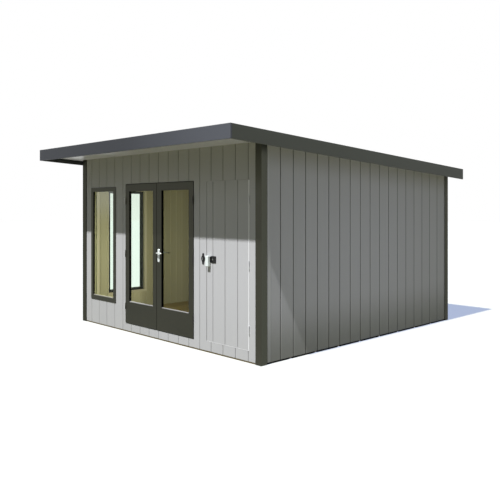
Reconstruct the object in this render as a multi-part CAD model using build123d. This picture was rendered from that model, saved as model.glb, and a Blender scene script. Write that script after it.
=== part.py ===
from build123d import *
import math
import os

# Garden studio: a hollow timber-framed room with a mono-pitch roof.
# X runs to the right along the front, Y to the back, Z up; the front faces -Y.
# The origin lies on the ground under the middle of the roof.

# Front, from the left corner to the right corner
left_margin = 232
window_width = 662
window_pier = 247
left_leaf_width = 714
meeting_gap = 8
right_leaf_width = 737
store_pier = 239
store_width = 713
right_margin = 193

# Roof depth and height
roof_depth = 4690
roof_front_height = 2506
roof_fall_angle = 3.1
front_overhang = 595
side_overhang = 172
back_overhang = 132

# Roof build-up, measured upright from the roof's top edge
fascia_depth = 150
back_fascia_depth = 100
fascia_thickness = 20
fascia_upstand = 12
membrane_thickness = 3
roof_panel_thickness = 64
soffit_thickness = 9
soffit_joint = 2

# Walls
cladding_thickness = 18
core_thickness = 82
trim_proud = 8
trim_width = 88
trim_chamfer = 4
front_ground_gap = 10
side_ground_gap = 20

# Floor
joist_height = 78
joist_width = 47
joist_count = 10
deck_thickness = 18

# Double doors
header_depth = 391
sill_thickness = 19
door_thickness = 54
hang_stile = 88
meeting_stile = 78
meeting_cover = 20
top_rail = 98
bottom_panel = 288
glass_setback = 29
door_glass_thickness = 18
glass_lap = 10
door_chamfer = 3

# Clearances round every moving leaf, and the frames behind them
leaf_gap = 6
stop_gap = 5
stop_lap = 14
frame_thickness = 30

# Fixed windows in the front and left walls
window_bottom = 355
window_head_step = 29
window_frame_face = 58
window_frame_depth = 76
window_glass_thickness = 24
left_window_width = 690
left_window_setback = 366

# Store door
store_head_step = 13
store_sill_thickness = 32
store_core_thickness = 36

# Pin hinges
knuckle_radius = 6
knuckle_clearance = 5
hinge_height = 90
hinge_pin_radius = 3.5
hinge_pin_length = 34
hinge_plate = 2.5
hinge_plate_width = 30
hinge_height_shares = (0.12, 0.5, 0.88)
running_gap = 0.3

# Lever handle set
plate_height = 170
plate_width = 42
plate_thickness = 8
plate_round = 3
plate_drop = 117
handle_inset = 49
lever_height = 1106
lever_radius = 8.5
lever_length = 98
lever_standoff = 47
lever_bend = 16
lever_return = 20
spindle_radius = 5
spindle_clearance = 2
cylinder_radius = 8.5
cylinder_drop = 70
cylinder_web = 9
cylinder_web_drop = 22
cylinder_proud = 6
keyway_width = 2
keyway_height = 9
keyway_depth = 5

# Hasp, keeper and padlock of the store door
hasp_height = 1082
hasp_metal = 4
hasp_plate_width = 75
hasp_plate_height = 81
hasp_plate_inset = 96
hasp_corner = 12
strap_end_height = 46
eye_inset = 50
eye_thickness = 6
eye_height = 26
eye_forward = 14
eye_hole_radius = 8
keeper_clearance = 18
keeper_disc_radius = 36
keeper_lobe_radius = 17
keeper_height = 134
keeper_boss_radius = 17
keeper_boss = 14
keeper_hole_radius = 8
lock_width = 50
lock_thickness = 34
lock_rise = 42
lock_fall = 79
lock_round = 5
lock_stand = 6
lock_pocket_gap = 3
shackle_radius = 5
shackle_cover = 6
shackle_seat_gap = 0.6

# One overrun serves every cut
overrun = 5

# Derived planes and lines
roof_slope = math.tan(math.radians(roof_fall_angle))
door_pair_width = left_leaf_width + meeting_gap + right_leaf_width
front_bays = left_margin + window_width + window_pier + door_pair_width
store_bays = store_pier + store_width + right_margin
x_trim = (front_bays + store_bays) / 2
x_eave = x_trim + side_overhang
y_eave_front = -roof_depth / 2
y_eave_back = roof_depth / 2
y_trim_front = y_eave_front + front_overhang
y_trim_back = y_eave_back - back_overhang
x_clad = x_trim - trim_proud
y_clad_front = y_trim_front + trim_proud
y_clad_back = y_trim_back - trim_proud
x_core = x_clad - cladding_thickness
y_core_front = y_clad_front + cladding_thickness
y_core_back = y_clad_back - cladding_thickness
x_room = x_core - core_thickness
y_room_front = y_core_front + core_thickness
y_room_back = y_core_back - core_thickness
floor_top = joist_height + deck_thickness
drop_membrane = fascia_upstand
drop_panel = drop_membrane + membrane_thickness
drop_soffit = drop_panel + roof_panel_thickness
drop_eave = drop_soffit + soffit_thickness
wall_top_front = roof_front_height - roof_slope * (y_clad_front - y_eave_front) - drop_eave
door_top = wall_top_front - header_depth
door_bottom = floor_top + sill_thickness + leaf_gap
store_bottom = floor_top + store_sill_thickness + leaf_gap
store_top = door_top - store_head_step
window_top = door_top - window_head_step
window_left = -x_trim + left_margin
x_left_hang = window_left + window_width + window_pier
x_right_hang = x_left_hang + door_pair_width
x_left_meet = x_left_hang + left_leaf_width
x_right_meet = x_left_meet + meeting_gap
store_left = x_right_hang + store_pier
store_right = store_left + store_width

# Openings, as left, right, bottom and top
door_opening = (
    x_left_hang - leaf_gap,
    x_right_hang + leaf_gap,
    door_bottom - leaf_gap,
    door_top + leaf_gap,
)
store_opening = (
    store_left - leaf_gap,
    store_right + leaf_gap,
    store_bottom - leaf_gap,
    store_top + leaf_gap,
)
window_opening = (
    window_left,
    window_left + window_width,
    window_bottom,
    window_top,
)
left_window_front = y_trim_front + left_window_setback
left_window_opening = (
    left_window_front,
    left_window_front + left_window_width,
    window_bottom,
    window_top,
)
y_door_face = y_trim_front
y_store_face = y_clad_front

parts = {}


def block(x0, x1, y0, y1, z0, z1):
    """Upright box between two corners."""
    centre = Pos((x0 + x1) / 2, (y0 + y1) / 2, (z0 + z1) / 2)
    return centre * Box(x1 - x0, y1 - y0, z1 - z0)


def roof_z(y, drop):
    """Height of the sloping plane that lies a given drop under the roof's top edge."""
    return roof_front_height - roof_slope * (y - y_eave_front) - drop


def side_profile(x0, x1, points):
    """Outline in the Y-Z plane, run from x0 to x1."""
    face = Plane.YZ.offset(x0) * make_face(Polyline(*points, close=True))
    return extrude(face, amount=x1 - x0)


def roof_band(x0, x1, y0, y1, drop_top, drop_bottom):
    """Layer of the roof between two drops, with plumb ends."""
    points = (
        (y0, roof_z(y0, drop_bottom)),
        (y1, roof_z(y1, drop_bottom)),
        (y1, roof_z(y1, drop_top)),
        (y0, roof_z(y0, drop_top)),
    )
    return side_profile(x0, x1, points)


def wall_slab(x0, x1, y0, y1, z0, drop):
    """Wall from a level foot up to the sloping roof."""
    points = ((y0, z0), (y1, z0), (y1, roof_z(y1, drop)), (y0, roof_z(y0, drop)))
    return side_profile(x0, x1, points)


def solids_together(pieces):
    """Separate solids that share one node."""
    return Compound(children=[piece.solid() for piece in pieces])


def front_edges(piece, y):
    """Edges of a piece that lie in the plane of its front face."""
    return piece.edges().filter_by_position(Axis.Y, y, y)


# Floor
joist_first = y_core_front + joist_width / 2
joist_pitch = (y_core_back - y_core_front - joist_width) / (joist_count - 1)


def joist(index):
    y = joist_first + index * joist_pitch
    return block(-x_core, x_core, y - joist_width / 2, y + joist_width / 2, 0, joist_height)


parts["floor_joists"] = solids_together([joist(i) for i in range(joist_count)])
parts["floor_deck"] = block(-x_core, x_core, y_core_front, y_core_back, joist_height, floor_top)


# Wall cores: framed and lined panels that stand on the deck
def front_core(x0, x1, z0):
    return wall_slab(x0, x1, y_core_front, y_room_front, z0, drop_soffit)


def left_core(y0, y1, z0):
    return wall_slab(-x_core, -x_room, y0, y1, z0, drop_soffit)


door_rough_left = door_opening[0] - frame_thickness
door_rough_right = door_opening[1] + frame_thickness
store_rough_left = store_opening[0] - frame_thickness
store_rough_right = store_opening[1] + frame_thickness
door_rough_top = door_opening[3] + frame_thickness
store_rough_top = store_opening[3] + frame_thickness

parts["front_wall_left_end"] = front_core(-x_core, window_opening[0], floor_top)
parts["front_wall_left_pier"] = front_core(window_opening[1], door_rough_left, floor_top)
parts["front_wall_right_pier"] = front_core(door_rough_right, store_rough_left, floor_top)
parts["front_wall_right_end"] = front_core(store_rough_right, x_core, floor_top)
parts["front_wall_over_door"] = front_core(door_rough_left, door_rough_right, door_rough_top)
parts["front_wall_over_store_door"] = front_core(store_rough_left, store_rough_right, store_rough_top)
parts["front_wall_window_panels"] = solids_together([
    block(window_opening[0], window_opening[1], y_core_front, y_room_front, floor_top, window_bottom),
    front_core(window_opening[0], window_opening[1], window_top),
])
parts["left_wall_front"] = left_core(y_room_front, left_window_opening[0], floor_top)
parts["left_wall_rear"] = left_core(left_window_opening[1], y_room_back, floor_top)
parts["left_wall_window_panels"] = solids_together([
    block(-x_core, -x_room, left_window_opening[0], left_window_opening[1], floor_top, window_bottom),
    left_core(left_window_opening[0], left_window_opening[1], window_top),
])
parts["right_wall"] = wall_slab(x_room, x_core, y_room_front, y_room_back, floor_top, drop_soffit)
parts["back_wall"] = wall_slab(-x_core, x_core, y_room_back, y_core_back, floor_top, drop_soffit)

# Cladding between the corner trims, cut for the doors and windows
x_trim_edge = x_trim - trim_width
y_trim_edge_front = y_trim_front + trim_width
y_trim_edge_back = y_trim_back - trim_width


def front_cut(opening):
    return block(
        opening[0],
        opening[1],
        y_clad_front - overrun,
        y_core_front + overrun,
        opening[2],
        opening[3],
    )


def left_cut(opening):
    return block(
        -x_clad - overrun,
        -x_core + overrun,
        opening[0],
        opening[1],
        opening[2],
        opening[3],
    )


front_skin = wall_slab(-x_trim_edge, x_trim_edge, y_clad_front, y_core_front, front_ground_gap, drop_eave)
for opening in (window_opening, door_opening, store_opening):
    front_skin -= front_cut(opening)
parts["front_cladding"] = front_skin
left_skin = wall_slab(-x_clad, -x_core, y_trim_edge_front, y_trim_edge_back, side_ground_gap, drop_eave)
parts["left_cladding"] = left_skin - left_cut(left_window_opening)
parts["right_cladding"] = wall_slab(
    x_core, x_clad, y_trim_edge_front, y_trim_edge_back, side_ground_gap, drop_eave
)
parts["back_cladding"] = wall_slab(
    -x_trim_edge, x_trim_edge, y_core_back, y_clad_back, front_ground_gap, drop_eave
)


# Corner trims: angles that lap the corners of the walls and reach the ground
def corner_trim(side, front):
    y_out = y_trim_front if front else y_trim_back
    y_in = y_trim_edge_front if front else y_trim_edge_back
    y_back = y_core_front if front else y_core_back
    x_out, x_in, x_back = side * x_trim, side * x_trim_edge, side * x_core
    outer = wall_slab(min(x_out, x_in), max(x_out, x_in), min(y_out, y_in), max(y_out, y_in), 0, drop_eave)
    corner = outer.edges().filter_by(Axis.Z).sort_by_distance((x_out, y_out, 0))[0]
    outer = chamfer(corner, trim_chamfer)
    x_far = x_in - side * overrun
    y_far = y_in + overrun if front else y_in - overrun
    inner = block(
        min(x_back, x_far),
        max(x_back, x_far),
        min(y_back, y_far),
        max(y_back, y_far),
        -overrun,
        roof_front_height,
    )
    return outer - inner


parts["corner_trims"] = solids_together([
    corner_trim(side, front) for side in (-1, 1) for front in (True, False)
])

# Roof
x_fascia_in = x_eave - fascia_thickness
y_fascia_front = y_eave_front + fascia_thickness
y_fascia_back = y_eave_back - fascia_thickness

parts["fascia_front"] = roof_band(-x_eave, x_eave, y_eave_front, y_fascia_front, 0, fascia_depth)
parts["fascia_back"] = roof_band(
    -x_fascia_in, x_fascia_in, y_fascia_back, y_eave_back, 0, back_fascia_depth
)
parts["fascia_left"] = roof_band(-x_eave, -x_fascia_in, y_fascia_front, y_eave_back, 0, fascia_depth)
parts["fascia_right"] = roof_band(x_fascia_in, x_eave, y_fascia_front, y_eave_back, 0, fascia_depth)
parts["roof_panel"] = roof_band(
    -x_fascia_in, x_fascia_in, y_fascia_front, y_fascia_back, drop_panel, drop_soffit
)
parts["roof_membrane"] = roof_band(
    -x_fascia_in, x_fascia_in, y_fascia_front, y_fascia_back, drop_membrane, drop_panel
)
soffit_side_front = y_core_front + soffit_joint
soffit_side_back = y_core_back - soffit_joint
parts["soffit_boards"] = solids_together([
    roof_band(-x_fascia_in, x_fascia_in, y_fascia_front, y_core_front, drop_soffit, drop_eave),
    roof_band(-x_fascia_in, x_fascia_in, y_core_back, y_fascia_back, drop_soffit, drop_eave),
    roof_band(-x_fascia_in, -x_core, soffit_side_front, soffit_side_back, drop_soffit, drop_eave),
    roof_band(x_core, x_fascia_in, soffit_side_front, soffit_side_back, drop_soffit, drop_eave),
])


# Door frames: rebated rings behind the cladding, with a stop behind each leaf
def rebated_frame(opening, leaf_back):
    left, right, bottom, top = opening
    outer = block(
        left - frame_thickness,
        right + frame_thickness,
        y_core_front,
        y_room_front,
        floor_top,
        top + frame_thickness,
    )
    rebate = block(left, right, y_core_front - overrun, leaf_back + stop_gap, bottom, top)
    lap = leaf_gap + stop_lap
    clear_way = block(left + lap, right - lap, leaf_back, y_room_front + overrun, bottom + lap, top - lap)
    return outer - rebate - clear_way


y_door_back = y_door_face + door_thickness
y_store_back = y_core_front + store_core_thickness
parts["door_frame"] = rebated_frame(door_opening, y_door_back)
parts["store_door_frame"] = rebated_frame(store_opening, y_store_back)


# Pin hinges: the frame's half carries the pin, the leaf's half turns on it
def hinge_axis_y(face):
    return face - knuckle_radius - knuckle_clearance


def hinge_bottoms(bottom, top):
    return [bottom + share * (top - bottom) - hinge_height / 2 for share in hinge_height_shares]


def frame_hinge(x_leaf, side, face, z):
    """Half on the reveal; side is +1 where the leaf hangs from its right edge."""
    x_axis = x_leaf + side * leaf_gap / 2
    y_axis = hinge_axis_y(face)
    half = hinge_height / 2
    barrel = Pos(x_axis, y_axis, z + (half - running_gap) / 2) * Cylinder(knuckle_radius, half - running_gap)
    pin = Pos(x_axis, y_axis, z + half + hinge_pin_length / 2) * Cylinder(hinge_pin_radius, hinge_pin_length)
    root = Pos(x_axis, y_axis, z + half) * Cylinder(hinge_pin_radius, half)
    x_reveal = x_leaf + side * leaf_gap
    x_plate = x_reveal - side * hinge_plate
    plate = block(
        min(x_plate, x_reveal),
        max(x_plate, x_reveal),
        y_axis,
        face + hinge_plate_width,
        z,
        z + half - running_gap,
    )
    return barrel + plate + root + pin


def leaf_hinge(x_leaf, side, face, z):
    """Half let flush into the leaf's edge, with a blind bore for the pin."""
    x_axis = x_leaf + side * leaf_gap / 2
    y_axis = hinge_axis_y(face)
    half = hinge_height / 2
    barrel = Pos(x_axis, y_axis, z + half + half / 2) * Cylinder(knuckle_radius, half)
    bore_length = hinge_pin_length + running_gap
    bore_radius = hinge_pin_radius + running_gap
    bore = Pos(x_axis, y_axis, z + half + bore_length / 2) * Cylinder(bore_radius, bore_length)
    x_plate = x_leaf - side * hinge_plate
    plate = block(
        min(x_plate, x_leaf),
        max(x_plate, x_leaf),
        y_axis,
        face + hinge_plate_width,
        z + half,
        z + hinge_height,
    )
    return barrel + plate - bore


def hinge_pocket(x_leaf, side, face, z):
    """Recess in the leaf's edge that takes the hinge plate."""
    x_plate = x_leaf - side * hinge_plate
    x_clear = x_leaf + side * overrun
    return block(
        min(x_plate, x_clear),
        max(x_plate, x_clear),
        face - overrun,
        face + hinge_plate_width,
        z + hinge_height / 2,
        z + hinge_height,
    )


door_hinge_bottoms = hinge_bottoms(door_bottom, door_top)
store_hinge_bottoms = hinge_bottoms(store_bottom, store_top)
parts["frame_hinges"] = solids_together(
    [frame_hinge(x_left_hang, -1, y_door_face, z) for z in door_hinge_bottoms]
    + [frame_hinge(x_right_hang, 1, y_door_face, z) for z in door_hinge_bottoms]
    + [frame_hinge(store_right, 1, y_store_face, z) for z in store_hinge_bottoms]
)
parts["left_door_hinges"] = solids_together(
    [leaf_hinge(x_left_hang, -1, y_door_face, z) for z in door_hinge_bottoms]
)
parts["right_door_hinges"] = solids_together(
    [leaf_hinge(x_right_hang, 1, y_door_face, z) for z in door_hinge_bottoms]
)
parts["store_door_hinges"] = solids_together(
    [leaf_hinge(store_right, 1, y_store_face, z) for z in store_hinge_bottoms]
)

# Glazed leaves: stiles and rails round one tall pane over a solid panel
glass_bottom = door_bottom + bottom_panel
glass_top = door_top - top_rail
y_glass = y_door_face + glass_setback


def leaf_pane(sight):
    """Pane let into a groove in the stiles and rails."""
    return block(
        sight[0] - glass_lap,
        sight[1] + glass_lap,
        y_glass,
        y_glass + door_glass_thickness,
        glass_bottom - glass_lap,
        glass_top + glass_lap,
    )


def glazed_leaf(x0, x1, sight, x_hang, side):
    leaf = block(x0, x1, y_door_face, y_door_back, door_bottom, door_top)
    leaf -= block(
        sight[0],
        sight[1],
        y_door_face - overrun,
        y_door_back + overrun,
        glass_bottom,
        glass_top,
    )
    leaf = chamfer(front_edges(leaf, y_door_face), door_chamfer)
    leaf -= leaf_pane(sight)
    for z in door_hinge_bottoms:
        leaf -= hinge_pocket(x_hang, side, y_door_face, z)
    return leaf


left_sight = (x_left_hang + hang_stile, x_left_meet - meeting_stile)
right_sight = (x_right_meet + meeting_stile + meeting_cover, x_right_hang - hang_stile)
parts["left_door_leaf"] = glazed_leaf(x_left_hang, x_left_meet, left_sight, x_left_hang, -1)
parts["left_door_glass"] = leaf_pane(left_sight)
parts["right_door_glass"] = leaf_pane(right_sight)
right_leaf = glazed_leaf(x_right_meet, x_right_hang, right_sight, x_right_hang, 1)

# Lever handle set on the right leaf's meeting stile
x_handle = x_right_meet + handle_inset
plate_bottom = lever_height - plate_drop
cylinder_height = lever_height - cylinder_drop


def along_y(x, z, radius, y0, y1):
    """Round bar along Y."""
    return Pos(x, (y0 + y1) / 2, z) * Rot(X=90) * Cylinder(radius, y1 - y0)


def lock_profile(radius, web, y0, y1):
    """Keyhole-shaped bar of a lock cylinder."""
    barrel = along_y(x_handle, cylinder_height, radius, y0, y1)
    foot = block(
        x_handle - web / 2,
        x_handle + web / 2,
        y0,
        y1,
        cylinder_height - cylinder_web_drop,
        cylinder_height,
    )
    return barrel + foot


def handle_plate(y_seat, y_front):
    """Tall rounded plate with holes for the lever's neck and the cylinder."""
    place = Pos(x_handle, max(y_seat, y_front), plate_bottom + plate_height / 2) * Rot(X=90)
    outline = place * SlotOverall(plate_height, plate_width, rotation=90)
    plate = extrude(outline, amount=plate_thickness)
    plate = fillet(front_edges(plate, y_front), plate_round)
    y0, y1 = min(y_seat, y_front) - overrun, max(y_seat, y_front) + overrun
    plate -= along_y(x_handle, lever_height, lever_radius + running_gap, y0, y1)
    return plate - lock_profile(cylinder_radius + running_gap, cylinder_web + 2 * running_gap, y0, y1)


y_plate_out = y_door_face - plate_thickness
y_plate_in = y_door_back + plate_thickness
parts["handle_plates"] = solids_together([
    handle_plate(y_door_face, y_plate_out),
    handle_plate(y_door_back, y_plate_in),
])
right_leaf -= along_y(
    x_handle, lever_height, spindle_radius + spindle_clearance, y_door_face - overrun, y_door_back + overrun
)
right_leaf -= lock_profile(cylinder_radius, cylinder_web, y_door_face - overrun, y_door_back + overrun)
parts["right_door_leaf"] = right_leaf


def keyway(y, outward):
    """Slot in the end of the cylinder."""
    y_end = y - outward * keyway_depth
    return block(
        x_handle - keyway_width / 2,
        x_handle + keyway_width / 2,
        min(y, y_end),
        max(y, y_end),
        cylinder_height - keyway_height / 2,
        cylinder_height + keyway_height / 2,
    )


y_cylinder_out = y_plate_out - cylinder_proud
y_cylinder_in = y_plate_in + cylinder_proud
parts["lock_cylinder"] = (
    lock_profile(cylinder_radius, cylinder_web, y_cylinder_out, y_cylinder_in)
    - keyway(y_cylinder_out, -1)
    - keyway(y_cylinder_in, 1)
)


def lever_arm(y_seat, outward):
    """Round bar that leaves the leaf, turns along it and returns at its end."""
    y_neck = y_seat + outward * running_gap
    y_arm = y_seat + outward * lever_standoff
    path = FilletPolyline(
        (x_handle, y_neck, lever_height),
        (x_handle, y_arm, lever_height),
        (x_handle + lever_length, y_arm, lever_height),
        (x_handle + lever_length, y_arm - outward * lever_return, lever_height),
        radius=lever_bend,
    )
    section = Plane(origin=path @ 0, z_dir=path % 0) * Circle(lever_radius)
    return sweep(section, path=path)


spindle = along_y(x_handle, lever_height, spindle_radius, y_door_face - overrun, y_door_back + overrun)
parts["door_lever"] = lever_arm(y_door_face, -1) + spindle + lever_arm(y_door_back, 1)


# Fixed windows: one pane in a deep frame that passes through the wall
def window_bars(width):
    """Frame and pane of a window, drawn with its left face on X = 0 and its front on Y = 0."""
    frame = block(0, width, 0, window_frame_depth, window_bottom, window_top)
    sight = block(
        window_frame_face,
        width - window_frame_face,
        -overrun,
        window_frame_depth + overrun,
        window_bottom + window_frame_face,
        window_top - window_frame_face,
    )
    pane = block(
        window_frame_face - glass_lap,
        width - window_frame_face + glass_lap,
        glass_setback,
        glass_setback + window_glass_thickness,
        window_bottom + window_frame_face - glass_lap,
        window_top - window_frame_face + glass_lap,
    )
    frame = chamfer(front_edges(frame - sight, 0), door_chamfer)
    return frame - pane, pane


front_frame, front_pane = window_bars(window_width)
front_place = Pos(window_opening[0], y_trim_front, 0)
parts["front_window_frame"] = front_place * front_frame
parts["front_window_glass"] = front_place * front_pane
left_frame, left_pane = window_bars(left_window_width)
left_place = Pos(-x_trim, left_window_opening[1], 0) * Rot(Z=-90)
parts["left_window_frame"] = left_place * left_frame
parts["left_window_glass"] = left_place * left_pane

# Store door: ledged leaf with a skin of boards level with the wall's cladding
store_leaf = block(store_left, store_right, y_core_front, y_store_back, store_bottom, store_top)
store_skin = block(store_left, store_right, y_store_face, y_core_front, store_bottom, store_top)
for z in store_hinge_bottoms:
    store_leaf -= hinge_pocket(store_right, 1, y_store_face, z)
    store_skin -= hinge_pocket(store_right, 1, y_store_face, z)
parts["store_door_leaf"] = store_leaf
parts["store_door_cladding"] = store_skin

# Hasp on the store door: square plate, tapering strap and an eye for the padlock
y_hasp = y_store_face - hasp_metal
x_eye = store_left + eye_inset
x_hasp = store_left + hasp_plate_inset
strap_points = (
    (x_eye - eye_thickness, hasp_height - strap_end_height / 2),
    (x_hasp, hasp_height - hasp_plate_height / 2),
    (x_hasp + hasp_plate_width, hasp_height - hasp_plate_height / 2),
    (x_hasp + hasp_plate_width, hasp_height + hasp_plate_height / 2),
    (x_hasp, hasp_height + hasp_plate_height / 2),
    (x_eye - eye_thickness, hasp_height + strap_end_height / 2),
)
strap_outline = make_face(Polyline(*strap_points, close=True))
strap_outline = fillet(strap_outline.vertices(), hasp_corner)
strap = extrude(Plane.XZ.offset(-y_store_face) * strap_outline, amount=hasp_metal)
y_lock = y_hasp - eye_forward
y_eye_tip = y_lock - eye_height / 2
eye_profile = block(
    x_eye - eye_thickness / 2,
    x_eye + eye_thickness / 2,
    y_eye_tip,
    y_hasp,
    hasp_height - eye_height / 2,
    hasp_height + eye_height / 2,
)
eye_profile = fillet(
    eye_profile.edges().filter_by(Axis.X).group_by(Axis.Y)[0], eye_height / 2 - running_gap
)
eye_hole = Pos(x_eye, y_lock, hasp_height) * Rot(Y=90) * Cylinder(eye_hole_radius, eye_thickness + overrun)
parts["hasp"] = strap + eye_profile - eye_hole

# Keeper on the wall beside the store door: lobed plate with a bored boss
x_keeper = store_opening[0] - keeper_clearance - keeper_disc_radius
keeper_outline = Pos(x_keeper, hasp_height) * (
    Circle(keeper_disc_radius) + SlotOverall(keeper_height, 2 * keeper_lobe_radius, rotation=90)
)
keeper = extrude(Plane.XZ.offset(-y_clad_front) * keeper_outline, amount=hasp_metal)
y_keeper = y_clad_front - hasp_metal
y_boss = y_keeper - keeper_boss
keeper += along_y(x_keeper, hasp_height, keeper_boss_radius, y_boss, y_clad_front)
keeper_bore = along_y(x_keeper, hasp_height, keeper_hole_radius, y_boss - overrun, y_keeper)
parts["hasp_keeper"] = keeper - keeper_bore

# Block padlock hung in the eye: its straight shackle rests on the lower side of the hole
shackle_height = hasp_height - eye_hole_radius + shackle_radius + shackle_seat_gap
shackle_length = lock_width - 2 * shackle_cover
shackle = Pos(x_eye, y_lock, shackle_height) * Rot(Y=90) * Cylinder(shackle_radius, shackle_length)
y_lock_back = y_hasp - lock_stand
lock_body = block(
    x_eye - lock_width / 2,
    x_eye + lock_width / 2,
    y_lock_back - lock_thickness,
    y_lock_back,
    hasp_height - lock_fall,
    hasp_height + lock_rise,
)
lock_pocket = block(
    x_eye - eye_thickness / 2 - lock_pocket_gap,
    x_eye + eye_thickness / 2 + lock_pocket_gap,
    y_eye_tip - lock_pocket_gap,
    y_lock_back + overrun,
    hasp_height - eye_height / 2 - lock_pocket_gap,
    hasp_height + eye_height / 2 + lock_pocket_gap,
)
parts["padlock_shackle"] = shackle
parts["padlock_body"] = fillet(lock_body.edges(), lock_round) - lock_pocket - shackle

os.makedirs("parts", exist_ok=True)
for name, shape in parts.items():
    export_step(shape, f"parts/{name}.step")
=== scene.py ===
import math

import bmesh
import bpy
from mathutils import Euler, Matrix, Vector


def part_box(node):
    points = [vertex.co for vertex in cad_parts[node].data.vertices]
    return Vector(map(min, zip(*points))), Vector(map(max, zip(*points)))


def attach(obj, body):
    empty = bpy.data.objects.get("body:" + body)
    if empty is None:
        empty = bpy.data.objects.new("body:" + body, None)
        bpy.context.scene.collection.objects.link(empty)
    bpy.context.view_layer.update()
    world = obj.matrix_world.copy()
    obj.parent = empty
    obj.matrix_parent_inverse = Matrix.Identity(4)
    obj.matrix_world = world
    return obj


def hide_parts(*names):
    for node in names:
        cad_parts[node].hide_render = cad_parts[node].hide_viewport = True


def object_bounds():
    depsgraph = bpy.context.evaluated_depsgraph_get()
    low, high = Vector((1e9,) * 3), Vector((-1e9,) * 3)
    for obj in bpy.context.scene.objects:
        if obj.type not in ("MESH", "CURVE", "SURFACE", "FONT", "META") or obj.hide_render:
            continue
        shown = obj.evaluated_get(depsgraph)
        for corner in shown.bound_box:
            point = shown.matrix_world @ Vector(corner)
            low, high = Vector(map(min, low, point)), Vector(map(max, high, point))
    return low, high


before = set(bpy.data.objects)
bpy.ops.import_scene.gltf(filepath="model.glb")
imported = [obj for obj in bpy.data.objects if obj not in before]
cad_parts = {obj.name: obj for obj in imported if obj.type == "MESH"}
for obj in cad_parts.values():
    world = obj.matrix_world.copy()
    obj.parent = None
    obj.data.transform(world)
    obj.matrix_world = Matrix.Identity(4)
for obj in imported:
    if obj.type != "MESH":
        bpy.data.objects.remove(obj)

cad_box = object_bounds()

# Places of the three axes in a corner of a box
X, Y, Z = range(3)

# Sizes and places are in metres; a span runs from where a change starts to where it is full

# Gaps and laps
HAIRLINE = 0.0001
LEAF_GAP = 0.006
GLASS_LAP = 0.010
WALL_REACH = 0.2

# Cladding boards and corner trims
FRONT_BOARD = 0.2060
FRONT_JOINT_INSET = 0.0163
FRONT_SLOT = 0.0026
SIDE_BOARD = 0.2093
SIDE_FIRST_BOARD = 0.2192
SIDE_SLOT = 0.0048
STORE_BOARD = 0.2087
STORE_FIRST_BOARD = 0.1847
BOARD_EASE = 0.0035
TONGUE_SHARE = 0.35
CORNER_COVER = 0.009

# Painted shade on the boards: in the grooves and more of it there under the eave, high up under the eave,
# and towards the foot
FRONT_PAINTED_SHADE = {"grooves": (0.32, 0.90), "eave_shade": 0.66, "eave_shade_from": 1.60, "foot_dust_and_shade": 0.16, "foot_shade_to": 0.95}
SIDE_PAINTED_SHADE = {"grooves": (0.62, 0.0), "eave_shade": 0.5, "eave_shade_from": 1.95, "foot_dust_and_shade": 0.95, "foot_shade_to": 0.65}
EAVE_SHADE_FULL = 2.26
GROOVE_SHADE_SPAN = (0.0012, 0.0045)

# Front and back walls have painted shade at the left, which fades over a span from left to right
LEFT_SHADE_SPAN = (-1.0, 0.4)
LEFT_SHADE_SHARE = 0.18

# Painted light in strips on a side wall behind the front trim: one up the whole wall, a wider one low down,
# where it also lifts the painted shade at the foot
NARROW_LIGHT_SPAN = (0.018, 0.045)
NARROW_LIGHT_SHARE = 0.5
WIDE_LIGHT_SPAN = (0.054, 0.072)
WIDE_LIGHT_HEIGHT_SPAN = (0.95, 1.35)
FOOT_SHADE_LIFT = 0.45

# Dark coat: dust at the foot, and trims with painted shade at the left and up to their tops
COAT_FLECK = 0.8
COAT_DUST_SPAN = (0.0, 0.22)
TRIM_EAVE_SHADE_SPAN = (-0.556, -0.306)
TRIM_EAVE_SHADE_SHARE = 0.65
TRIM_LEFT_SHADE_SHARE = 0.55

# Fascia: a painted sheen makes it paler to the right, and a little to the front
FASCIA_SHEEN_SPAN = (0.44, 2.74)
FASCIA_SHEEN_TURN_SHARE = 0.18
FASCIA_SHEEN_CLOUD = 0.4

# Linings, floor and foot; bands of painted shade and painted light on the left lining are measured from the
# back of its window
ARCHITRAVE = 0.032
THIN_LINING = 0.002
WIDE_LINING = 0.036
LINING_BOARD = 0.118
LINING_THICKNESS = 0.008
LINING_SLOT = 0.0012
SHADE_BAND_SPAN = (-0.156, -0.006)
SHADE_BAND_SHARE = 0.9
LIGHT_BAND_SPAN = (0.334, 0.734)
LIGHT_BAND_SHARE = 0.75
FLOOR_PLANK = 0.142
PLANK_THICKNESS = 0.010
JOIST_COUNT = 10
JOIST_WIDTH = 0.047
STRIP_RECESS = 0.002
STRIP_CLEARANCE = 0.001
BEARER_SHOW = 0.007

# Glazing; the painted reflection on the front window is measured from the top of its pane
GASKET_WIDTH = 0.005
GASKET_DEPTH = 0.004
INNER_BEAD = 0.003
BEAD_HEIGHT = 0.0085
BEAD_DEPTH = 0.021
BEAD_SLOPE = 0.006
COVER_BEAD = 0.010
COVER_RISE = 0.006
EDGE_BEAD = 0.013
REVEAL_START = 0.0035
LEAF_SPLAY = 0.95
DOORWAY_SPLAY = 0.90
WINDOW_SPLAY = 0.18
STOP_LAP = 0.014
STOP_GAP = 0.005
PLATE_MARGIN = 0.002
TOP_REFLECTION_SPAN = (-0.517, -0.067)
TOP_REFLECTION_SHARE = 1.4

# Ironmongery and the store door's edging
EDGING_FACE = 0.011
EDGING_METAL = 0.0015
EDGING_FILL = 0.0042
SCREW_RADIUS = 0.0042
SCREW_RISE = 0.0016
SCREW_INSET = 0.014
BOLT_RADIUS = 0.008
BOLT_RISE = 0.004
BOLT_INSET = 0.016
STUD_RADIUS = 0.009
HASP_METAL = 0.004
HASP_PLATE = 0.075
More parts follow.
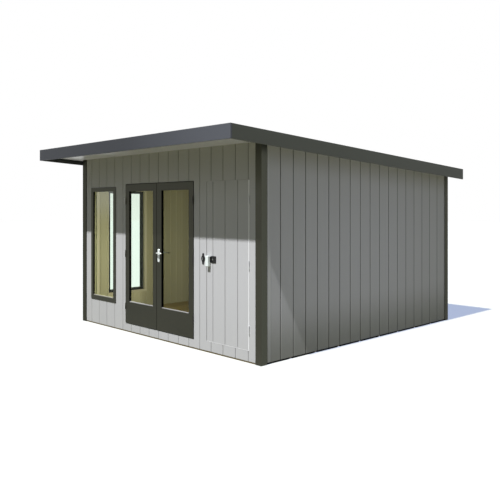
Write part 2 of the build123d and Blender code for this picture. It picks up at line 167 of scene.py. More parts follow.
# Painted reflection on the handle plate: heights of its grey band above the plate's foot, and the softness
# of its edges
SHADE_REFLECTION_FROM = 0.046
SHADE_REFLECTION_TO = 0.088
SHADE_REFLECTION_EDGE = 0.012
PLUG_RADIUS = 0.009
PLUG_RISE = 0.0012
PLUG_SIDES = 32
HEAD_SIDES = 16
HEAD_RINGS = 8

# Roof edge
CAP_METAL = 0.002
KERB_WIDTH = 0.045
KERB_HEIGHT = 0.010
LAP_WIDTH = 0.065
LAP_THICKNESS = 0.002
LAP_PLACES = (-0.68, 0.68)

# How far wood grain and brush marks are drawn out along one axis
UPRIGHT_GRAIN = (1, 1, 0.05)
CROSS_GRAIN = (0.05, 1, 1)
DEEP_GRAIN = (1, 0.05, 1)

# The photograph's camera and its sunlight
CAMERA_PLACE = (6.543, -6.432, 1.684)
CAMERA_HEADING = 45.961
CAMERA_LENS = 45.0
CAMERA_SHIFT = -0.0854
SUN_ELEVATION = 59.65
SUN_TO_RIGHT = 6.8
SUN_SIZE = 1.2
SUN_STRENGTH = 5.05
SUN_COLOUR = (0.955, 0.960, 1.0)
SKY_COLOUR = (0.80, 0.90, 1.20, 1)
SKY_STRENGTH = 0.21
FLOOR_REACH = 60.0
FLOOR_GLOW = 1.387
FLOOR_GLOW_SHARE = 0.45

# Ground that throws back more light, measured from the front left trim
BOUNCE_X_SPAN = (-0.5275, 0.0725)
BOUNCE_Y_SPAN = (0.0, 0.35)

# Soft lamps: place, the way each faces, width, height, power and colour
SIDE_LAMP = ((3.7, 0.0, 0.95), (-1, 0, 0), 3.8, 0.5, 6.5, (0.82, 0.84, 1.0))
ROOM_LAMP = ((-0.25, -1.42, 0.90), (-1, 0, 0), 0.25, 1.2, 19.6, (1.0, 0.985, 1.05))


# Shader expressions
class Wire:
    """One output of a shader node; arithmetic on it adds Math nodes."""

    def __init__(self, nodes, socket):
        self.nodes = nodes
        self.socket = socket

    def math(self, operation, *values):
        return self.nodes.node("ShaderNodeMath", {"operation": operation}, values)

    def __add__(self, other):
        return self.math("ADD", self, other)

    def __sub__(self, other):
        return self.math("SUBTRACT", self, other)

    def __rsub__(self, other):
        return self.math("SUBTRACT", other, self)

    def __mul__(self, other):
        return self.math("MULTIPLY", self, other)

    def __truediv__(self, other):
        return self.math("DIVIDE", self, other)

    __radd__ = __add__
    __rmul__ = __mul__


class Nodes:
    """A node tree written as expressions."""

    def __init__(self, tree):
        self.tree = tree
        tree.nodes.clear()

    def node(self, kind, settings, sockets, output=0):
        """Adds a node: settings first, then sockets by order or by name."""
        made = self.tree.nodes.new(kind)
        for key, value in settings.items():
            setattr(made, key, value)
        places = sockets.items() if isinstance(sockets, dict) else enumerate(sockets)
        for place, value in places:
            if isinstance(value, Wire):
                self.tree.links.new(value.socket, made.inputs[place])
            else:
                made.inputs[place].default_value = value
        return Wire(self, made.outputs[output])

    def mix(self, share, first, second):
        """Blend of two colours."""
        return self.node("ShaderNodeMix", {"data_type": "RGBA"}, {0: share, 6: first, 7: second}, 2)

    def fade(self, value, low, high):
        """0 at low, 1 at high, and smooth between them."""
        settings = {"interpolation_type": "SMOOTHSTEP"}
        return self.node("ShaderNodeMapRange", settings, {0: value, 1: low, 2: high, 3: 0.0, 4: 1.0})

    def place(self):
        return self.node("ShaderNodeTexCoord", {}, {}, "Object")

    def along(self, axis):
        """The piece's own place along one axis."""
        return self.node("ShaderNodeSeparateXYZ", {}, [self.place()], axis)

    def noise(self, scale, detail=3.0, stretch=(1, 1, 1)):
        """Noise on the piece's own place, drawn out along an axis by a small stretch."""
        spot = self.node("ShaderNodeMapping", {}, {"Vector": self.place(), "Scale": stretch})
        return self.node("ShaderNodeTexNoise", {}, {"Vector": spot, "Scale": scale, "Detail": detail})

    def each_board(self, axis, first, pitch):
        """A random share for each board of a row."""
        place = (self.along(axis) - first) / pitch
        number = place.math("FLOOR", place)
        return self.node("ShaderNodeTexWhiteNoise", {"noise_dimensions": "1D"}, {"W": number})

    def bump(self, height, strength, distance):
        """Small relief: its pattern, how strongly it shows and how high it is in metres."""
        sockets = {"Strength": strength, "Distance": distance, "Height": height}
        return self.node("ShaderNodeBump", {}, sockets)

    def watched(self):
        """1 for what the camera sees, also through glass and in reflections; 0 for light on its way."""
        path = self.tree.nodes.new("ShaderNodeLightPath").outputs
        rays = ("Camera", "Glossy", "Transmission")
        seen, shiny, glassy = (Wire(self, path[f"Is {ray} Ray"]) for ray in rays)
        return seen.math("MAXIMUM", seen.math("MAXIMUM", seen, shiny), glassy)

    def output(self, shader, kind="ShaderNodeOutputMaterial"):
        """Ends the tree with a shader."""
        end = self.tree.nodes.new(kind)
        self.tree.links.new(shader.socket, end.inputs["Surface"])


class Finish(Nodes):
    """A named material."""

    def __init__(self, name):
        self.material = bpy.data.materials.new(name)
        self.material.use_nodes = True
        super().__init__(self.material.node_tree)

    def solid(self, colour, roughness, normal=None, **plain):
        """Closes the material with one main shader; plain values keep to their own sockets."""
        sockets = {"Base Color": colour, "Roughness": roughness}
        sockets.update({key.replace("_", " "): value for key, value in plain.items()})
        if normal is not None:
            sockets["Normal"] = normal
        self.output(self.node("ShaderNodeBsdfPrincipled", {}, sockets))
        return self.material


def shade(red, green, blue):
    return (red, green, blue, 1.0)


def toned(colour, tone):
    """A lighter or darker version of a colour."""
    return shade(*(tone * part for part in colour[:3]))


# Colours
BOARD_DARK = shade(0.535, 0.535, 0.532)
BOARD_LIGHT = shade(0.585, 0.585, 0.582)
# Painted light and painted shade on the boards
BOARD_PAINTED_LIGHT = shade(0.78, 0.78, 0.77)
BOARD_LEFT_SHADE = shade(0.33, 0.33, 0.28)
BOARD_FOOT_SHADE = shade(0.33, 0.333, 0.305)
BOARD_EAVE_SHADE = shade(0.33, 0.33, 0.29)
BOARD_GROOVE_SHADE = shade(0.17, 0.17, 0.155)
COAT_DARK = shade(0.050, 0.050, 0.0375)
COAT_LIGHT = shade(0.060, 0.060, 0.0455)
COAT_DUST = shade(0.085, 0.082, 0.065)
# Painted shade in the glazed reveals
COAT_REVEAL_SHADE = shade(0.008, 0.008, 0.007)
COAT_TINT = shade(0.55, 0.55, 0.55)
# Painted shade and painted light on the corner trims
TRIM_SHADE = shade(0.030, 0.031, 0.017)
TRIM_SIDE_LIGHT = shade(0.068, 0.0705, 0.054)
HINGE_DARK = shade(0.024, 0.0235, 0.0175)
HINGE_PALE = shade(0.80, 0.80, 0.79)
SLATE_DARK = shade(0.024, 0.0265, 0.032)
SLATE_LIGHT = shade(0.080, 0.086, 0.100)
SOFFIT_DARK = shade(0.72, 0.72, 0.82)
SOFFIT_LIGHT = shade(0.79, 0.79, 0.89)
WOOD_DARK = shade(0.33, 0.300, 0.155)
WOOD_LIGHT = shade(0.49, 0.450, 0.250)
PLANK_DARK = shade(0.200, 0.142, 0.040)
PLANK_LIGHT = shade(0.370, 0.268, 0.082)
SHEET_DARK = shade(0.050, 0.051, 0.054)
SHEET_LIGHT = shade(0.078, 0.079, 0.082)
GLASS_CAST = shade(0.945, 0.980, 0.945)
GLASS_GLOSS = shade(0.9, 0.95, 0.92)
POLISHED = shade(0.80, 0.835, 0.81)
# Painted reflection of shaded ground on the handle plate
SHADE_REFLECTION = shade(0.27, 0.28, 0.27)
IRON_DARK = shade(0.006, 0.006, 0.006)
IRON_LIGHT = shade(0.014, 0.014, 0.013)
IRON_BOSS_GREY = shade(0.16, 0.165, 0.155)
RUBBER_DARK = shade(0.004, 0.004, 0.004)
RUBBER_LIGHT = shade(0.010, 0.010, 0.010)
FLOOR_LIT = shade(0.84, 0.78, 0.50)
FLOOR_SHADOW = shade(0.565, 0.676, 1.0)
GROUND_DARK = shade(0.193, 0.186, 0.110)
GROUND_LIGHT = shade(0.80, 0.79, 0.62)


# Finishes
def board_paint(name, pattern, face, wear_and_shade):
    """Grey paint on boards, brushed along the grain, with painted shade in the grooves, at the foot and
    under the eave.

    A front or back wall has a little painted shade at the left, and a side wall has painted light beside the
    front trim.

    The pattern gives the axis across the boards, a joint and the pitch; the face gives the axis that the
    boards look along, their outer plane and the sign of the way into the wall.
    """
    f = Finish(name)
    streak = f.noise(38, 5, (1, 1, 0.035))
    tone = f.each_board(*pattern) * 0.3 + f.noise(1.3, 2) * 0.3 + streak * 0.4
    paint = f.mix(tone, BOARD_DARK, BOARD_LIGHT)
    look, plane, inward = face
    rise = f.along("Z")
    # Painted shade, darker towards the foot
    foot_dust_and_shade = (1 - f.fade(rise, 0.0, wear_and_shade["foot_shade_to"])) * (f.noise(9, 4) * 0.2 + 0.9) * wear_and_shade["foot_dust_and_shade"]
    # Painted light in strips behind the front trim, which also lifts the painted shade at the foot
    if look == "X":
        behind = f.along("Y") - right_skin[0].y
        narrow_light = (1 - f.fade(behind, *NARROW_LIGHT_SPAN)) * NARROW_LIGHT_SHARE
        wide_light = (1 - f.fade(behind, *WIDE_LIGHT_SPAN)) * (1 - f.fade(rise, *WIDE_LIGHT_HEIGHT_SPAN))
        pale = wide_light.math("MAXIMUM", wide_light, narrow_light)
        paint = f.mix(pale, paint, BOARD_PAINTED_LIGHT)
        foot_dust_and_shade = foot_dust_and_shade * (1 - pale * FOOT_SHADE_LIFT)
    else:
        # Painted shade towards the left
        left_shade = (1 - f.fade(f.along("X"), *LEFT_SHADE_SPAN)) * LEFT_SHADE_SHARE
        paint = f.mix(left_shade, paint, BOARD_LEFT_SHADE)
    paint = f.mix(foot_dust_and_shade, paint, BOARD_FOOT_SHADE)
    # Painted shade high up under the eave
    eave_shade_mask = f.fade(rise + f.along("Y") * roof_slope, wear_and_shade["eave_shade_from"], EAVE_SHADE_FULL)
    paint = f.mix(eave_shade_mask * wear_and_shade["eave_shade"], paint, BOARD_EAVE_SHADE)
    # Painted shade in the grooves, with more of it under the eave
    depth = (f.along(look) - plane) * inward
    groove_shade_share, eave_groove_shade_share = wear_and_shade["grooves"]
    groove_shade_mask = f.fade(depth, *GROOVE_SHADE_SPAN) * (eave_shade_mask * eave_groove_shade_share + groove_shade_share)
    paint = f.mix(groove_shade_mask, paint, BOARD_GROOVE_SHADE)
    fine = f.noise(420, 2, (1, 1, 0.12))
    normal = f.bump(streak * 0.7 + fine * 0.3, 0.16, 0.002)
    return f.solid(paint, 0.62 + streak * 0.14, normal, Specular_IOR_Level=0.06)


def dark_paint(name, glazed=None, tone=1.0, wood=1.0, corners=False):
    """Satin olive-grey coat with a fine fleck.

    On the corner trims it has painted shade at the left and under the eave, and painted light on the near
    right side.

    On a glazed piece, given by its outer plane and the one where its inside starts, the reveal between
    them is painted black as painted shade, and what lies behind is lacquered wood.
    """
    f = Finish(name)
    coat = f.mix(f.noise(2.1, 3), toned(COAT_DARK, tone), toned(COAT_LIGHT, tone))
    foot_dust_and_shade = (1 - f.fade(f.along("Z"), *COAT_DUST_SPAN)) * f.noise(14, 4) * 0.20
    coat = f.mix(foot_dust_and_shade, coat, COAT_DUST)
    if corners:
        # Painted shade at the left and high up under the eave, painted light on the near right side face
        across = f.along("X")
        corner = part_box("corner_trims")[1]
        eave_shade_mask = f.fade(f.along("Z") - corner.z, *TRIM_EAVE_SHADE_SPAN) * TRIM_EAVE_SHADE_SHARE
        left = (1 - f.fade(across, -HAIRLINE, HAIRLINE)) * TRIM_LEFT_SHADE_SHARE
        coat = f.mix(left.math("MAXIMUM", left, eave_shade_mask), coat, TRIM_SHADE)
        side = f.fade(across, corner.x - 2 * HAIRLINE, corner.x - HAIRLINE)
        near = 1 - f.fade(f.along("Y"), -HAIRLINE, HAIRLINE)
        coat = f.mix(side * near, coat, TRIM_SIDE_LIGHT)
    brush = f.noise(55, 4, UPRIGHT_GRAIN)
    fleck = COAT_FLECK
    if glazed is not None:
        outer, inner = glazed
        # The reveal is painted black as painted shade
        reveal = f.fade(f.along("Y"), outer + REVEAL_START, outer + REVEAL_START + HAIRLINE)
        coat = f.mix(reveal, coat, COAT_REVEAL_SHADE)
        inside = f.fade(f.along("Y"), inner, inner + HAIRLINE)
        figure = f.noise(13, 5, UPRIGHT_GRAIN)
        lacquered = f.mix(figure, toned(WOOD_DARK, wood), toned(WOOD_LIGHT, wood))
        coat = f.mix(inside, coat, lacquered)
        fleck = (1 - inside) * COAT_FLECK
    normal = f.bump(brush * 0.6 + f.noise(320, 2) * 0.4, 0.10, 0.001)
    plain = {"Metallic": fleck, "Specular_IOR_Level": 0.2, "Specular_Tint": COAT_TINT}
    return f.solid(coat, 0.34 + brush * 0.12, normal, **plain)


def hinge_paint():
    """Hinges are dark on the right leaf and pale elsewhere, like what they sit against."""
    f = Finish("hinge_paint")
    across = f.along("X")
    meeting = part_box("right_door_leaf")[0].x
    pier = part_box("front_wall_right_pier")
    dark = f.fade(across, meeting, meeting + HAIRLINE) * (1 - f.fade(across, pier[0].x, pier[1].x))
    wear_and_shade = f.noise(120, 3)
    paint = f.mix(dark, HINGE_PALE, HINGE_DARK)
    return f.solid(paint, 0.45 + wear_and_shade * 0.15, f.bump(wear_and_shade, 0.08, 0.0005), Specular_IOR_Level=0.3)


def plain_coat(name, dark, light):
    """Smooth paint or plastic on beads and edgings."""
    f = Finish(name)
    cloud = f.noise(8, 3)
    return f.solid(f.mix(cloud, dark, light), 0.5 + cloud * 0.12, f.bump(f.noise(200, 2), 0.04, 0.0005))


def coated_metal(name, blue=1.0):
    """Slate-coloured coating on the fascia and roof trims, with a painted sheen that makes it a little paler
    towards the front right corner.
    """
    f = Finish(name)
    cloud = f.noise(1.4, 3)
    # Painted sheen, growing towards the front right corner
    corner = f.along("X") - f.along("Y") * FASCIA_SHEEN_TURN_SHARE + cloud * FASCIA_SHEEN_CLOUD
    pale = f.fade(corner, *FASCIA_SHEEN_SPAN)
    dark, light = (shade(red, green, tint * blue) for red, green, tint, _ in (SLATE_DARK, SLATE_LIGHT))
    coat = f.mix(pale, dark, light)
    speckle = f.noise(900, 1)
    normal = f.bump(speckle * 0.5 + f.noise(7, 2) * 0.5, 0.06, 0.001)
    return f.solid(coat, 0.56 + cloud * 0.12, normal, Specular_IOR_Level=0.36)


def soffit_paint():
    """Pale satin boards under the eave."""
    f = Finish("soffit_paint")
    tone = f.noise(1.7, 3)
    paint = f.mix(tone, SOFFIT_DARK, SOFFIT_LIGHT)
    brush = f.noise(46, 4, CROSS_GRAIN)
    return f.solid(paint, 0.26 + brush * 0.08, f.bump(brush, 0.05, 0.0005))


def lining_wood(name, axis, first, banded):
    """Lacquered matchboard inside the room; a banded wall has painted shade from the back of its window on,
    then painted light further back.
    """
    f = Finish(name)
    figure = f.noise(13, 5, UPRIGHT_GRAIN)
    ring = f.noise(70, 3, (1, 1, 0.03))
    tone = f.each_board(axis, first, LINING_BOARD) * 0.45 + figure * 0.40 + ring * 0.15
    if banded:
        # Painted shade from the back of the window on, and painted light further back
        behind = f.along("Y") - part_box("left_window_frame")[1].y
        dark = f.fade(behind, *SHADE_BAND_SPAN) * SHADE_BAND_SHARE
        tone = tone * (1 - dark) + f.fade(behind, *LIGHT_BAND_SPAN) * LIGHT_BAND_SHARE
    wood = f.mix(tone, WOOD_DARK, WOOD_LIGHT)
    return f.solid(wood, 0.42 + ring * 0.15, f.bump(ring, 0.15, 0.001))


def plain_timber(name, dark, light, grain=UPRIGHT_GRAIN):
    """Sawn or planed wood with its grain drawn out along one axis."""
    f = Finish(name)
    figure = f.noise(11, 5, grain)
    ring = f.noise(85, 4, grain)
    wood = f.mix(figure * 0.6 + ring * 0.4, dark, light)
    return f.solid(wood, 0.62 + ring * 0.16, f.bump(ring, 0.3, 0.0015))


def floor_wood(first):
    """Brown oiled floor planks."""
    f = Finish("floor_wood")
    figure = f.noise(12, 5, DEEP_GRAIN)
    ring = f.noise(80, 3, (1, 0.03, 1))
    tone = f.each_board("X", first, FLOOR_PLANK) * 0.4 + figure * 0.45 + ring * 0.15
    wood = f.mix(tone, PLANK_DARK, PLANK_LIGHT)
    return f.solid(wood, 0.36 + ring * 0.18, f.bump(ring, 0.12, 0.001))


def roof_sheet():
    """Dark roofing sheet, a little rippled."""
    f = Finish("roof_sheet")
    cloud = f.noise(1.1, 4)
    sheet = f.mix(cloud, SHEET_DARK, SHEET_LIGHT)
    ripple = f.noise(4, 3)
    return f.solid(sheet, 0.62 + cloud * 0.15, f.bump(ripple + f.noise(300, 2) * 0.1, 0.12, 0.004))


def clear_glass():
    """See-through pane with a faint green cast; its outer faces mirror at a slant, and a painted reflection
    makes the window's top mirror most.
    """
    f = Finish("clear_glass")
    inner = Wire(f, f.tree.nodes.new("ShaderNodeNewGeometry").outputs["Backfacing"])
    slant = f.node("ShaderNodeFresnel", {}, {"IOR": 1.45})
    clear = f.node("ShaderNodeBsdfTransparent", {}, {"Color": GLASS_CAST})
    gloss = f.node("ShaderNodeBsdfGlossy", {}, {"Color": GLASS_GLOSS, "Roughness": 0.02})
    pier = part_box("front_wall_left_pier")
    window = 1 - f.fade(f.along("X"), pier[0].x, pier[1].x)
    # Painted reflection, strongest at the top of the front window's pane
    top_reflection = f.fade(f.along("Z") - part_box("front_window_glass")[1].z, *TOP_REFLECTION_SPAN) * window
    smear_and_reflection = f.noise(3, 3) * 0.10 + top_reflection * TOP_REFLECTION_SHARE + 0.10
    f.output(f.node("ShaderNodeMixShader", {}, [slant * smear_and_reflection * (1 - inner), clear, gloss]))
    return f.material


def bright_metal(name, colour, roughness):
    """Polished metal with faint smears."""
    f = Finish(name)
    smear_and_reflection = f.noise(60, 3)
    normal = f.bump(f.noise(500, 2), 0.03, 0.0005)
    return f.solid(colour, roughness + smear_and_reflection * 0.10, normal, Metallic=1.0)


def handle_metal():
    """Polished plate with a painted reflection: grey between the lever and the lock, where it mirrors shaded
    ground.
    """
    f = Finish("handle_metal")
    rise = f.along("Z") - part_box("handle_plates")[0].z
    above = f.fade(rise, SHADE_REFLECTION_FROM - SHADE_REFLECTION_EDGE, SHADE_REFLECTION_FROM)
    below = 1 - f.fade(rise, SHADE_REFLECTION_TO, SHADE_REFLECTION_TO + SHADE_REFLECTION_EDGE)
    # Painted reflection of shaded ground between the lever and the lock
    colour = f.mix(above * below, POLISHED, SHADE_REFLECTION)
    smear_and_reflection = f.noise(60, 3)
    return f.solid(colour, 0.18 + smear_and_reflection * 0.10, f.bump(f.noise(500, 2), 0.03, 0.0005), Metallic=1.0)


def black_iron():
    """Black coating over forged iron with soft hammer marks, lighter grey on the keeper's boss."""
    f = Finish("black_iron")
    marks = f.node("ShaderNodeTexVoronoi", {"feature": "SMOOTH_F1"}, {"Vector": f.place(), "Scale": 160.0})
    coat = f.mix(f.noise(30, 3), IRON_DARK, IRON_LIGHT)
    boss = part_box("hasp_keeper")[0].y
    boss_grey = 1 - f.fade(f.along("Y"), boss, boss + HASP_METAL)
    coat = f.mix(boss_grey, coat, IRON_BOSS_GREY)
    return f.solid(coat, 0.42 + marks * 0.1, f.bump(marks, 0.25, 0.001), Specular_IOR_Level=0.25)


def rubber_and_shade_finish():
    """Black for the gaskets, and for the strips under the side boards, which are painted shade."""
    f = Finish("gasket_rubber_and_shade")
    grey = f.noise(90, 2)
    black = f.mix(grey, RUBBER_DARK, RUBBER_LIGHT)
    return f.solid(black, 0.7 + grey * 0.1, Specular_IOR_Level=0.12)


# Meshes
def add_block(bm, low, high):
    """Adds a box between two corners."""
    low, high = Vector(low), Vector(high)
    verts = bmesh.ops.create_cube(bm, size=1)["verts"]
    bmesh.ops.scale(bm, vec=high - low, verts=verts)
    bmesh.ops.translate(bm, vec=(low + high) / 2, verts=verts)
    return verts


def edges_of(verts, wanted):
    """Edges of a shape whose two ends both pass a test."""
    found = {edge for vert in verts for edge in vert.link_edges}
    return [edge for edge in found if all(wanted(vert.co) for vert in edge.verts)]


def slope_off(bm, edges, size):
    """Takes a flat slope off edges."""
    bmesh.ops.bevel(bm, geom=edges, offset=size, segments=1, profile=0.5, affect="EDGES", material=-1)


def place_object(name, data):
    """Puts a mesh, lamp or camera into the scene."""
    placed = bpy.data.objects.new(name, data)
    bpy.context.scene.collection.objects.link(placed)
    return placed


def mesh_object(name, bm):
    """Ends the work on a mesh and puts it into the scene."""
    mesh = bpy.data.meshes.new(name)
    bm.to_mesh(mesh)
    bm.free()
    return place_object(name, mesh)


def finish_piece(name, bm, material, body, smooth=False):
    """Makes a piece of a mesh and hands it to the body that carries it."""
    bmesh.ops.recalc_face_normals(bm, faces=bm.faces)
    piece = mesh_object(name, bm)
    piece.data.materials.append(material)
    if smooth:
        piece.data.shade_smooth()
    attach(piece, body)
    return piece


def cut_away(piece, boxes):
    """Takes boxes out of a piece."""
    bm = bmesh.new()
    for low, high in boxes:
        add_block(bm, low, high)
    cutter = mesh_object("openings", bm)
    cut = piece.modifiers.new("openings", "BOOLEAN")
    cut.operation = "DIFFERENCE"
    cut.solver = "EXACT"
    cut.object = cutter
    seen = piece.evaluated_get(bpy.context.evaluated_depsgraph_get())
    piece.data = bpy.data.meshes.new_from_object(seen)
    piece.modifiers.clear()
    bpy.data.objects.remove(cutter)


# Planes and places read from the frame
front_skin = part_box("front_cladding")
right_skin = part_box("right_cladding")
left_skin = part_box("left_cladding")
back_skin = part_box("back_cladding")
store_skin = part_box("store_door_cladding")
fascia_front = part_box("fascia_front")
fascia_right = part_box("fascia_right")
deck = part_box("floor_deck")
room_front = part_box("front_wall_left_end")[1].y
room_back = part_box("back_wall")[0].y
room_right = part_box("right_wall")[0].x
room_left = -room_right


def extent(box, axis):
    """Size of a box along one axis."""
    return box[1][axis] - box[0][axis]


roof_slope = (extent(fascia_right, Z) - extent(fascia_front, Z)) / (
    extent(fascia_right, Y) - extent(fascia_front, Y)
)
eave_point = Vector((0, front_skin[0].y, front_skin[1].z))
eave_normal = Vector((0, roof_slope, 1)).normalized()
ceiling_point = Vector((0, front_skin[1].y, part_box("front_wall_left_end")[1].z))


def roof_z(y):
    """Height of the fascia's top edge."""
    return fascia_front[1].z - roof_slope * (y - fascia_front[0].y)


def clip_top(bm, point):
    """Cuts a wall's boards off along the roof's slope and closes their tops."""
    geom = [*bm.verts, *bm.edges, *bm.faces]
    cut = bmesh.ops.bisect_plane(bm, geom=geom, plane_co=point, plane_no=eave_normal, clear_outer=True)
    edges = [item for item in cut["geom_cut"] if isinstance(item, bmesh.types.BMEdge)]
    bmesh.ops.holes_fill(bm, edges=edges, sides=0)


def through(box, axis, gap):
    """Opening for a box that passes right through a wall along one axis."""
    reach = Vector((gap, gap, gap))
    reach[axis] = WALL_REACH
    return box[0] - reach, box[1] + reach


def seams(low, high, first, pitch):
    """Ends of a wall and the joints between its boards."""
    count = math.ceil((high - low) / pitch)
    joints = [first + step * pitch for step in range(-count, count + 1)]
    return [low, *[joint for joint in joints if low + BOARD_EASE < joint < high - BOARD_EASE], high]


def add_board(bm, left, right, foot, head, depth, slot):
    """One upright board that faces -Y: a full-width tongue, then a narrower face with eased edges."""
    tongue = depth * TONGUE_SHARE
    ease = min(BOARD_EASE, depth - tongue)
    left, right = left + HAIRLINE, right - HAIRLINE
    outline = [
        (left, 0),
        (left, -tongue),
        (left + slot, -tongue),
        (left + slot, ease - depth),
        (left + slot + ease, -depth),
        (right - slot - ease, -depth),
        (right - slot, ease - depth),
        (right - slot, -tongue),
        (right, -tongue),
        (right, 0),
    ]
    face = bm.faces.new([bm.verts.new((x, y, foot)) for x, y in outline])
    made = bmesh.ops.extrude_face_region(bm, geom=[face])["geom"]
    verts = [item for item in made if isinstance(item, bmesh.types.BMVert)]
    bmesh.ops.translate(bm, vec=(0, 0, head - foot), verts=verts)


def board_row(edges, foot, head, depth, slot, turn, place):
    """Boards side by side, turned to face their way and set on their wall."""
    bm = bmesh.new()
    for left, right in zip(edges, edges[1:]):
        add_board(bm, left, right, foot, head, depth, slot)
    matrix = Matrix.Translation(place) @ turn
    bmesh.ops.transform(bm, matrix=matrix, verts=bm.verts)
    return bm


# Turns that point boards their way
FACE_FRONT = Matrix.Identity(4)
FACE_RIGHT = Matrix.Rotation(math.radians(90), 4, "Z")
FACE_LEFT = Matrix.Rotation(math.radians(-90), 4, "Z")
FACE_BACK = Matrix.Rotation(math.radians(180), 4, "Z")
FACE_UP = Matrix.Rotation(math.radians(-90), 4, "X")

# Axis that each wall's boards look along, their outer plane and the sign of the way in
wall_faces = {
    "front": ("Y", front_skin[0].y, 1),
    "back": ("Y", back_skin[1].y, -1),
    "right": ("X", right_skin[1].x, -1),
    "left": ("X", left_skin[0].x, 1),
}

# Openings cut through the boards
door_hole = (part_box("left_door_leaf")[0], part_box("right_door_leaf")[1])
front_cuts = [
    through(door_hole, Y, LEAF_GAP),
    through(store_skin, Y, LEAF_GAP),
    through(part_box("front_window_frame"), Y, 0),
]
left_cuts = [through(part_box("left_window_frame"), X, 0)]


def cladding():
    """Grooved boards on the four walls."""
    depth = extent(front_skin, Y)
    head = front_skin[1].z + depth
    joint = store_skin[1].x - FRONT_JOINT_INSET
    side_joint = right_skin[0].y + SIDE_FIRST_BOARD
    edges = seams(front_skin[0].x, front_skin[1].x, joint, FRONT_BOARD)
    side_edges = seams(right_skin[0].y, right_skin[1].y, side_joint, SIDE_BOARD)
    left_edges = [-edge for edge in reversed(side_edges)]
    side_pattern = ("Y", side_joint, SIDE_BOARD)
    walls = {
        "front": (edges, FRONT_SLOT, FACE_FRONT, ("X", joint, FRONT_BOARD), FRONT_PAINTED_SHADE, front_cuts),
        "back": (edges, FRONT_SLOT, FACE_BACK, ("X", -joint, FRONT_BOARD), FRONT_PAINTED_SHADE, []),
        "right": (side_edges, SIDE_SLOT, FACE_RIGHT, side_pattern, SIDE_PAINTED_SHADE, []),
        "left": (left_edges, SIDE_SLOT, FACE_LEFT, side_pattern, SIDE_PAINTED_SHADE, left_cuts),
    }
    for side, (ends, slot, turn, pattern, wear_and_shade, cuts) in walls.items():
        look, plane, inward = wall_faces[side]
        place = Vector((0, 0, 0))
        place["XY".index(look)] = plane + inward * depth
        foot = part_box(f"{side}_cladding")[0].z + (BEARER_SHOW if look == "Y" else 0)
        bm = board_row(ends, foot, head, depth, slot, turn, place)
        clip_top(bm, eave_point)
        paint = board_paint(f"{side}_board_paint", pattern, (look, plane, inward), wear_and_shade)
        piece = finish_piece(f"{side}_cladding_boards", bm, paint, "studio")
        if cuts:
            cut_away(piece, cuts)
        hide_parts(f"{side}_cladding")


def store_boards():
    """Store door's own boards, which don't line up with the wall's."""
    joint = store_skin[1].x - STORE_FIRST_BOARD
    edges = seams(store_skin[0].x, store_skin[1].x, joint, STORE_BOARD)
    depth = extent(store_skin, Y)
    place = Vector((0, store_skin[1].y, 0))
    bm = board_row(edges, store_skin[0].z, store_skin[1].z, depth, FRONT_SLOT, FACE_FRONT, place)
    paint = board_paint("store_board_paint", ("X", joint, STORE_BOARD), wall_faces["front"], FRONT_PAINTED_SHADE)
    piece = finish_piece("store_door_boards", bm, paint, "store_door")
    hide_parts("store_door_cladding")


def wall_linings():
    """Matchboard on the inner faces of the walls."""
    head = cad_box[1].z
    foot = deck[1].z
    depth = LINING_THICKNESS
    across = seams(room_left, room_right, room_left, LINING_BOARD)
    deep = seams(room_front, room_back, room_front, LINING_BOARD)
    frames = ("door_frame", "store_door_frame", "front_window_frame")
    front_holes = [through(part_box(node), Y, 0) for node in frames]
    walls = {
        "front": (across, FACE_BACK, (0, room_front, 0), "X", front_holes),
        "back": (across, FACE_FRONT, (0, room_back, 0), "X", []),
        "right": ([-edge for edge in reversed(deep)], FACE_LEFT, (room_right, 0, 0), "Y", []),
        "left": (deep, FACE_RIGHT, (room_left, 0, 0), "Y", left_cuts),
    }
    for side, (ends, turn, place, axis, cuts) in walls.items():
        bm = board_row(ends, foot, head, depth, LINING_SLOT, turn, Vector(place))
        clip_top(bm, ceiling_point)
        first = room_left if axis == "X" else room_front
        wood = lining_wood(f"{side}_lining_wood", axis, first, banded=side == "left")
        piece = finish_piece(f"{side}_lining", bm, wood, "studio")
        if cuts:
            cut_away(piece, cuts)


def floor_planks():
    """Planks over the deck, from the front wall to the back wall."""
    edges = seams(room_left, room_right, room_left, FLOOR_PLANK)
    place = Vector((0, 0, deck[1].z))
    bm = board_row(edges, room_front, room_back, PLANK_THICKNESS, LINING_SLOT, FACE_UP, place)
    finish_piece("floor_planks", bm, floor_wood(room_left), "studio")


# Glazing
def pane_sight(glass, axis):
    """Part of a pane that shows; the axis is the one that the pane faces along."""
    low, high = glass
    lap = Vector((GLASS_LAP, GLASS_LAP, GLASS_LAP))
    lap[axis] = 0
    return low + lap, high - lap


def add_ring(bm, low, high, axis, face, width, depth):
    """Flat ring just inside a pane's edges, standing off the pane by a signed depth."""
    across = 1 - axis
    corners = [(0, 0), (1, 0), (1, 1), (0, 1)]
    verts = []
    for a, b in corners:
        spot = Vector((0, 0, 0))
        spot[axis] = face
        spot[across] = (low, high)[a][across]
        spot.z = (low, high)[b].z
        verts.append(bm.verts.new(spot))
    sheet = bm.faces.new(verts)
    bmesh.ops.inset_region(bm, faces=[sheet], thickness=width, use_boundary=True)
    ring = [f for f in bm.faces if f is not sheet and any(v in verts for v in f.verts)]
    bmesh.ops.delete(bm, geom=[sheet], context="FACES_ONLY")
    lifted = bmesh.ops.extrude_face_region(bm, geom=ring, use_keep_orig=True)["geom"]
    move = Vector((0, 0, 0))
    move[axis] = depth
    bmesh.ops.translate(bm, vec=move, verts=[v for v in lifted if isinstance(v, bmesh.types.BMVert)])


